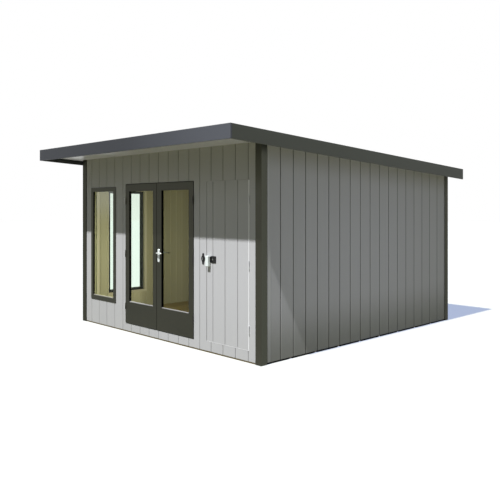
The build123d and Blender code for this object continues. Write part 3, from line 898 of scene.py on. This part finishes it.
def splayed(node, opening, axis, sides, rate, material, body, least=-math.inf):
    """A leaf or frame whose opening widens inwards from a plane, along the sides given.

    The opening's low corner gives the plane, and no point moves past a least place across.
    """
    low, high = opening
    across = 1 - axis
    reach = GLASS_LAP + HAIRLINE
    bm = bmesh.new()
    bm.from_mesh(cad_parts[node].data)
    bmesh.ops.remove_doubles(bm, verts=bm.verts, dist=HAIRLINE)
    for vert in bm.verts:
        spot = vert.co
        within = all(low[side] - reach < spot[side] < high[side] + reach for side in (across, Z))
        move = (spot[axis] - low[axis]) * rate
        if within and move > HAIRLINE:
            for side in sides:
                lower = spot[side] < (low[side] + high[side]) / 2
                spot[side] = low[side] - move if lower else high[side] + move
            spot[across] = max(spot[across], least)
    bmesh.ops.remove_doubles(bm, verts=bm.verts, dist=HAIRLINE)
    piece = finish_piece(f"splayed_{node}", bm, material, body)
    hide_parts(node)


def openings():
    """Splays of the two leaves, of the door frame behind them and of the left window."""
    left, right = (pane_sight(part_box(f"{side}_door_glass"), Y) for side in ("left", "right"))
    window = pane_sight(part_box("left_window_glass"), X)
    handle_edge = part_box("handle_plates")[1].x + PLATE_MARGIN
    lap = Vector((STOP_LAP, 0, STOP_LAP))
    doorway = (door_hole[0] + lap, door_hole[1] - lap)
    doorway[0].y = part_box("left_door_leaf")[1].y + STOP_GAP
    splayed("left_door_leaf", left, Y, (X, Z), LEAF_SPLAY, leaf_paint, "left_door")
    splayed("right_door_leaf", right, Y, (X, Z), LEAF_SPLAY, leaf_paint, "right_door", handle_edge)
    splayed("door_frame", doorway, Y, (X,), DOORWAY_SPLAY, paint, "studio")
    splayed("left_window_frame", window, X, (Y, Z), WINDOW_SPLAY, paint, "studio")


def glazing(name, glass, body, axis, inside=None):
    """Black gasket and a grey sloping foot bead outside a pane, and beads inside if they have a finish."""
    low, high = pane_sight(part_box(glass), axis)
    bm = bmesh.new()
    add_ring(bm, low, high, axis, low[axis], GASKET_WIDTH, -GASKET_DEPTH)
    finish_piece(f"{name}_outer_gasket", bm, black_rubber_and_shade, body)
    if inside is not None:
        bm = bmesh.new()
        add_ring(bm, low, high, axis, high[axis], INNER_BEAD, GASKET_DEPTH)
        finish_piece(f"{name}_inner_beads", bm, inside, body)
    foot, top = low.copy(), high.copy()
    foot[axis] = low[axis] - BEAD_DEPTH
    top[axis] = low[axis]
    top.z = low.z + BEAD_HEIGHT
    bm = bmesh.new()
    verts = add_block(bm, foot, top)
    nose = foot[axis]
    edge = edges_of(verts, lambda c: c.z > top.z - HAIRLINE and abs(c[axis] - nose) < HAIRLINE)
    slope_off(bm, edge, BEAD_SLOPE)
    finish_piece(f"{name}_bead", bm, bead_grey if inside is None else sill_grey, body)


def window_linings():
    """Wooden linings round the windows' openings inside, from the frame to the wall's boards."""
    bm = bmesh.new()
    linings = [
        ("front_window_frame", Y, room_front, ARCHITRAVE, ARCHITRAVE),
        ("left_window_frame", X, room_left, THIN_LINING, WIDE_LINING),
    ]
    for node, axis, wall, first, last in linings:
        low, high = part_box(node)
        across = 1 - axis
        start, end = low.copy(), high.copy()
        start[axis], end[axis] = high[axis], wall + LINING_THICKNESS
        for side, less, more in ((across, first, last), (Z, ARCHITRAVE, ARCHITRAVE)):
            near, far = end.copy(), start.copy()
            near[side], far[side] = low[side] + less, high[side] - more
            add_block(bm, start, near)
            add_block(bm, far, end)
            start[side], end[side] = near[side], far[side]
    finish_piece("window_linings", bm, window_wood, "studio")


def cover_beads():
    """Beads down the front window's right reveal outside and over the left window's pane inside."""
    bm = bmesh.new()
    low, high = pane_sight(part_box("front_window_glass"), Y)
    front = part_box("front_window_frame")[0].y + REVEAL_START
    add_block(bm, (high.x - EDGE_BEAD, front, low.z), (high.x, low.y, high.z))
    low, high = pane_sight(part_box("left_window_glass"), X)
    add_block(bm, (high.x, low.y, high.z - COVER_BEAD), (high.x + COVER_RISE, high.y, high.z))
    finish_piece("window_cover_beads", bm, paint, "studio")


def corner_covers():
    """Cover strips down the outer faces of the two left corner trims."""
    low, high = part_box("corner_trims")
    bm = bmesh.new()
    for near, far in ((low.y, left_skin[0].y), (left_skin[1].y, high.y)):
        add_block(bm, (low.x - CORNER_COVER, near, low.z), (low.x, far, high.z))
    clip_top(bm, eave_point)
    finish_piece("left_corner_covers", bm, trim_paint, "studio")


# Ironmongery
def add_dome(bm, centre, radius, rise):
    """Round head that stands off a wall towards -Y."""
    ball = bmesh.ops.create_uvsphere(bm, u_segments=HEAD_SIDES, v_segments=HEAD_RINGS, radius=radius)
    made = ball["verts"]
    bmesh.ops.delete(bm, geom=[v for v in made if v.co.z < -HAIRLINE], context="VERTS")
    kept = [v for v in made if v.is_valid]
    bmesh.ops.holes_fill(bm, edges=[e for e in bm.edges if e.is_boundary], sides=0)
    bmesh.ops.scale(bm, vec=(1, 1, rise / radius), verts=kept)
    turn = Matrix.Translation(centre) @ Matrix.Rotation(math.radians(90), 4, "X")
    bmesh.ops.transform(bm, matrix=turn, verts=kept)


def round_heads(name, spots, radius, rise, material, body):
    """Heads of like fixings as one piece."""
    bm = bmesh.new()
    for spot in spots:
        add_dome(bm, Vector(spot), radius, rise)
    finish_piece(name, bm, material, body, smooth=True)


def fixings():
    """Screws on the handle plate, bolts on the keeper and the hasp, and a stud on the hasp."""
    low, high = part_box("handle_plates")
    middle = (low.x + high.x) / 2
    spots = [(middle, low.y, z) for z in (low.z + SCREW_INSET, high.z - SCREW_INSET)]
    round_heads("handle_screws", spots, SCREW_RADIUS, SCREW_RISE, chrome, "right_door")
    low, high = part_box("hasp_keeper")
    middle = (low.x + high.x) / 2
    face = front_skin[0].y - HASP_METAL
    spots = [(middle, face, z) for z in (low.z + BOLT_INSET, high.z - BOLT_INSET)]
    round_heads("keeper_bolts", spots, BOLT_RADIUS, BOLT_RISE, iron, "studio")
    low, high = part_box("hasp")
    face = store_skin[0].y - HASP_METAL
    near, far = high.x - BOLT_INSET, high.x - HASP_PLATE + BOLT_INSET
    spots = [(x, face, z) for x in (near, far) for z in (low.z + BOLT_INSET, high.z - BOLT_INSET)]
    round_heads("hasp_bolts", spots, BOLT_RADIUS, BOLT_RISE, iron, "store_door")
    spots = [(far, face, (low.z + high.z) / 2)]
    round_heads("hasp_stud", spots, STUD_RADIUS, BOLT_RISE, stud_grey, "store_door")


def padlock_plug():
    """Round plug for the key under the padlock."""
    low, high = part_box("padlock_body")
    middle = (low + high) / 2
    bm = bmesh.new()
    made = bmesh.ops.create_cone(
        bm, cap_ends=True, segments=PLUG_SIDES, radius1=PLUG_RADIUS, radius2=PLUG_RADIUS, depth=PLUG_RISE
    )
    place = Vector((middle.x, middle.y, low.z - PLUG_RISE / 2))
    bmesh.ops.translate(bm, vec=place, verts=made["verts"])
    finish_piece("padlock_plug", bm, iron, "store_door")


def store_edging():
    """White angle down the store door's hinge edge and foot, grey strips on its top and free edge."""
    low, high = store_skin
    face = low.y - EDGING_METAL
    right = high.x + EDGING_FILL
    foot = low.z - EDGING_FILL
    bm = bmesh.new()
    add_block(bm, (high.x - EDGING_FACE, face, low.z), (high.x, low.y, high.z))
    add_block(bm, (high.x, face, foot), (right, high.y, high.z))
    add_block(bm, (low.x, low.y, foot), (high.x, high.y, low.z))
    finish_piece("store_door_edging", bm, edge_white, "store_door")
    bm = bmesh.new()
    left = low.x - EDGING_FILL
    add_block(bm, (left, low.y, high.z), (high.x, high.y, high.z + EDGING_FILL))
    add_block(bm, (left, low.y, low.z), (low.x, high.y, high.z))
    finish_piece("store_door_grey_strips", bm, strip_grey, "store_door")


def foot_strips():
    """Black strips between the joists' ends under the side boards, painted shade for the gap there, and
    bearers under front and back.
    """
    low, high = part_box("floor_joists")
    pitch = (high.y - low.y - JOIST_WIDTH) / (JOIST_COUNT - 1)
    top = right_skin[0].z - STRIP_CLEARANCE
    reach = right_skin[1].x - STRIP_RECESS
    bm = bmesh.new()
    for bay in range(JOIST_COUNT - 1):
        front = low.y + JOIST_WIDTH + bay * pitch
        back = front + pitch - JOIST_WIDTH
        add_block(bm, (-reach, front, low.z), (low.x, back, top))
        add_block(bm, (high.x, front, low.z), (reach, back, top))
    # These strips are painted shade: a black sheet where the gap under the side boards lies in shade
    finish_piece("side_shade_strips", bm, black_rubber_and_shade, "studio")
    left, right = front_skin[0].x, front_skin[1].x
    top = front_skin[0].z + BEARER_SHOW - STRIP_CLEARANCE
    bm = bmesh.new()
    add_block(bm, (left, front_skin[0].y + STRIP_RECESS, low.z), (right, low.y, top))
    add_block(bm, (left, high.y, low.z), (right, back_skin[1].y - STRIP_RECESS, top))
    finish_piece("ground_bearers", bm, bearer_wood, "studio")


# Roof edge and laps
def add_sloping_block(bm, x0, x1, y0, y1, drop_top, drop_foot):
    """Box whose top and foot follow the roof's slope."""
    verts = add_block(bm, (x0, y0, 0), (x1, y1, 1))
    for vert in verts:
        drop = drop_top if vert.co.z > 0.5 else drop_foot
        vert.co.z = roof_z(vert.co.y) - drop


def roof_edges():
    """Metal capping over the fascia's top edge, a kerb inside it and laps in the roof sheet."""
    low, high = cad_box
    wall = extent(fascia_front, Y)
    inner = wall + CAP_METAL
    sheet_low, sheet_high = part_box("roof_membrane")
    sheet_drop = roof_z(sheet_low.y) - sheet_high.z

    def ring(reach, width):
        """Four runs round the roof, a given reach in from its edge."""
        x0, x1, y0, y1 = low.x + reach, high.x - reach, low.y + reach, high.y - reach
        return [
            (x0, x1, y0, y0 + width),
            (x0, x1, y1 - width, y1),
            (x0, x0 + width, y0 + width, y1 - width),
            (x1 - width, x1, y0 + width, y1 - width),
        ]

    bm = bmesh.new()
    for run in ring(0, inner):
        add_sloping_block(bm, *run, -CAP_METAL, 0)
    finish_piece("roof_edge_cap", bm, slate, "studio")
    bm = bmesh.new()
    for run in ring(wall, KERB_WIDTH):
        add_sloping_block(bm, *run, sheet_drop - KERB_HEIGHT, sheet_drop)
    finish_piece("roof_kerb", bm, sheet, "studio")
    bm = bmesh.new()
    start, end = low.y + wall + KERB_WIDTH, high.y - wall - KERB_WIDTH
    for x in LAP_PLACES:
        run = (x - LAP_WIDTH / 2, x + LAP_WIDTH / 2, start, end)
        add_sloping_block(bm, *run, sheet_drop - LAP_THICKNESS, sheet_drop)
    finish_piece("roof_laps", bm, sheet, "studio")


def dress(material, *nodes):
    """Gives nodes of the frame a finish."""
    for node in nodes:
        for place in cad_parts[node].material_slots:
            place.material = material


# Finishes in use
paint = dark_paint("dark_paint")
# The corner trims' coat carries painted shade and painted light
trim_paint = dark_paint("trim_paint", corners=True)
leaf_planes = (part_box("left_door_leaf")[0].y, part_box("left_door_leaf")[1].y - 2 * HAIRLINE)
window_planes = (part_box("front_window_frame")[0].y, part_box("front_window_glass")[0].y)
leaf_paint = dark_paint("leaf_paint", leaf_planes, tone=0.87, wood=1.6)
window_paint = dark_paint("window_paint", window_planes)
slate = coated_metal("coated_metal")
# Less blue copy for the side and back fascias, painted against the bluish light that falls on them
side_slate = coated_metal("side_coated_metal", blue=0.7)
sheet = roof_sheet()
black_rubber_and_shade = rubber_and_shade_finish()
iron = black_iron()
glass = clear_glass()
chrome = bright_metal("bright_chrome", POLISHED, roughness=0.16)
lock_white = plain_coat("lock_white", shade(0.84, 0.90, 0.86), shade(0.88, 0.94, 0.90))
bead_grey = plain_coat("bead_grey", shade(0.24, 0.235, 0.22), shade(0.285, 0.28, 0.265))
sill_grey = plain_coat("sill_grey", shade(0.215, 0.205, 0.165), shade(0.26, 0.25, 0.205))
edge_white = plain_coat("edge_white", shade(0.80, 0.80, 0.79), shade(0.86, 0.86, 0.85))
strip_grey = plain_coat("strip_grey", shade(0.44, 0.44, 0.43), shade(0.50, 0.50, 0.49))
stud_grey = plain_coat("stud_grey", shade(0.15, 0.155, 0.145), shade(0.19, 0.195, 0.185))
hinges = hinge_paint()
core_wood = plain_timber("core_wood", shade(0.30, 0.25, 0.13), shade(0.44, 0.38, 0.21))
window_wood = plain_timber("window_wood", shade(0.40, 0.36, 0.21), shade(0.50, 0.45, 0.27))
frame_wood = plain_timber("frame_wood", shade(0.36, 0.33, 0.25), shade(0.48, 0.45, 0.36))
joist_wood = plain_timber("joist_wood", shade(0.34, 0.24, 0.11), shade(0.56, 0.43, 0.24), CROSS_GRAIN)
bearer_wood = plain_timber("bearer_wood", shade(0.07, 0.05, 0.014), shade(0.12, 0.09, 0.028), CROSS_GRAIN)

# Nodes that show as they are
wall_cores = [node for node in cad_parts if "_wall" in node]
dress(core_wood, *wall_cores, "roof_panel", "floor_deck")
dress(joist_wood, "floor_joists")
dress(trim_paint, "corner_trims")
dress(window_paint, "front_window_frame")
dress(hinges, "frame_hinges", "left_door_hinges", "right_door_hinges", "store_door_hinges")
dress(slate, "fascia_front")
dress(side_slate, "fascia_back", "fascia_left", "fascia_right")
dress(soffit_paint(), "soffit_boards")
dress(sheet, "roof_membrane")
dress(frame_wood, "store_door_frame", "store_door_leaf")
dress(glass, "left_door_glass", "right_door_glass", "front_window_glass", "left_window_glass")
dress(chrome, "lock_cylinder", "door_lever", "padlock_shackle")
dress(handle_metal(), "handle_plates")
dress(lock_white, "padlock_body")
dress(iron, "hasp", "hasp_keeper")

# Pieces that are added or that stand in for a node
cladding()
store_boards()
wall_linings()
floor_planks()
openings()
glazing("left_door", "left_door_glass", "left_door", Y)
glazing("right_door", "right_door_glass", "right_door", Y)
glazing("front_window", "front_window_glass", "studio", Y, window_wood)
glazing("left_window", "left_window_glass", "studio", X, paint)
window_linings()
cover_beads()
corner_covers()
fixings()
padlock_plug()
store_edging()
foot_strips()
roof_edges()


# Floor, sky, sun and camera
def pale_floor():
    """White in the sun with a bluish shadow, and darker for the light that it throws back."""
    f = Finish("pale_floor")
    lit = f.node("ShaderNodeBsdfDiffuse", {}, {"Color": FLOOR_LIT})
    glow = f.node("ShaderNodeEmission", {}, {"Color": FLOOR_SHADOW, "Strength": FLOOR_GLOW})
    shown = f.node("ShaderNodeMixShader", {}, [FLOOR_GLOW_SHARE, lit, glow])
    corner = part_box("corner_trims")[0]
    left = 1 - f.fade(f.along("X") - corner.x, *BOUNCE_X_SPAN)
    beside = left * f.fade(f.along("Y") - corner.y, *BOUNCE_Y_SPAN)
    bounce = f.mix(beside, GROUND_DARK, GROUND_LIGHT)
    ground = f.node("ShaderNodeBsdfDiffuse", {}, {"Color": bounce})
    f.output(f.node("ShaderNodeMixShader", {}, [f.watched(), ground, shown]))
    return f.material


def soft_sky():
    """Even sky light, and plain white behind the object."""
    world = bpy.data.worlds.new("soft_sky")
    world.use_nodes = True
    f = Nodes(world.node_tree)
    sky = f.node("ShaderNodeBackground", {}, {"Color": SKY_COLOUR, "Strength": SKY_STRENGTH})
    white = f.node("ShaderNodeBackground", {}, {"Color": shade(1, 1, 1), "Strength": 1.0})
    f.output(f.node("ShaderNodeMixShader", {}, [f.watched(), sky, white]), "ShaderNodeOutputWorld")
    bpy.context.scene.world = world


def soft_lamp(name, place, facing, width, height, power, colour):
    """Large soft lamp that lights surfaces and is never seen itself."""
    lamp = bpy.data.lights.new(name, "AREA")
    lamp.shape = "RECTANGLE"
    lamp.size = width
    lamp.size_y = height
    lamp.energy = power
    lamp.color = colour
    holder = place_object(name, lamp)
    holder.location = place
    holder.rotation_euler = Vector(facing).to_track_quat("-Z", "Y").to_euler()
    holder.visible_camera = False
    holder.visible_glossy = False
    holder.visible_transmission = False


def sunlight():
    """Sun from the front, high up and a little from the right."""
    up = math.radians(SUN_ELEVATION)
    aside = math.radians(SUN_TO_RIGHT)
    ray = Vector((-math.sin(aside) * math.cos(up), math.cos(aside) * math.cos(up), -math.sin(up)))
    lamp = bpy.data.lights.new("sun", "SUN")
    lamp.energy = SUN_STRENGTH
    lamp.color = SUN_COLOUR
    lamp.angle = math.radians(SUN_SIZE)
    place_object("sun", lamp).rotation_euler = ray.to_track_quat("-Z", "Y").to_euler()


def photo_camera():
    """Level camera at the photograph's place."""
    lens = bpy.data.cameras.new("camera")
    lens.lens = CAMERA_LENS
    lens.shift_y = CAMERA_SHIFT
    camera = place_object("camera", lens)
    camera.location = CAMERA_PLACE
    camera.rotation_euler = Euler((math.radians(90), 0, math.radians(CAMERA_HEADING)))
    bpy.context.scene.camera = camera
    bpy.context.scene.view_settings.view_transform = "Standard"


def studio_floor():
    """Wide floor under the object."""
    bm = bmesh.new()
    bmesh.ops.create_grid(bm, x_segments=1, y_segments=1, size=FLOOR_REACH)
    ground = mesh_object("floor", bm)
    ground.data.materials.append(pale_floor())


studio_floor()
soft_sky()
sunlight()
soft_lamp("side_lamp", *SIDE_LAMP)
soft_lamp("room_lamp", *ROOM_LAMP)
photo_camera()
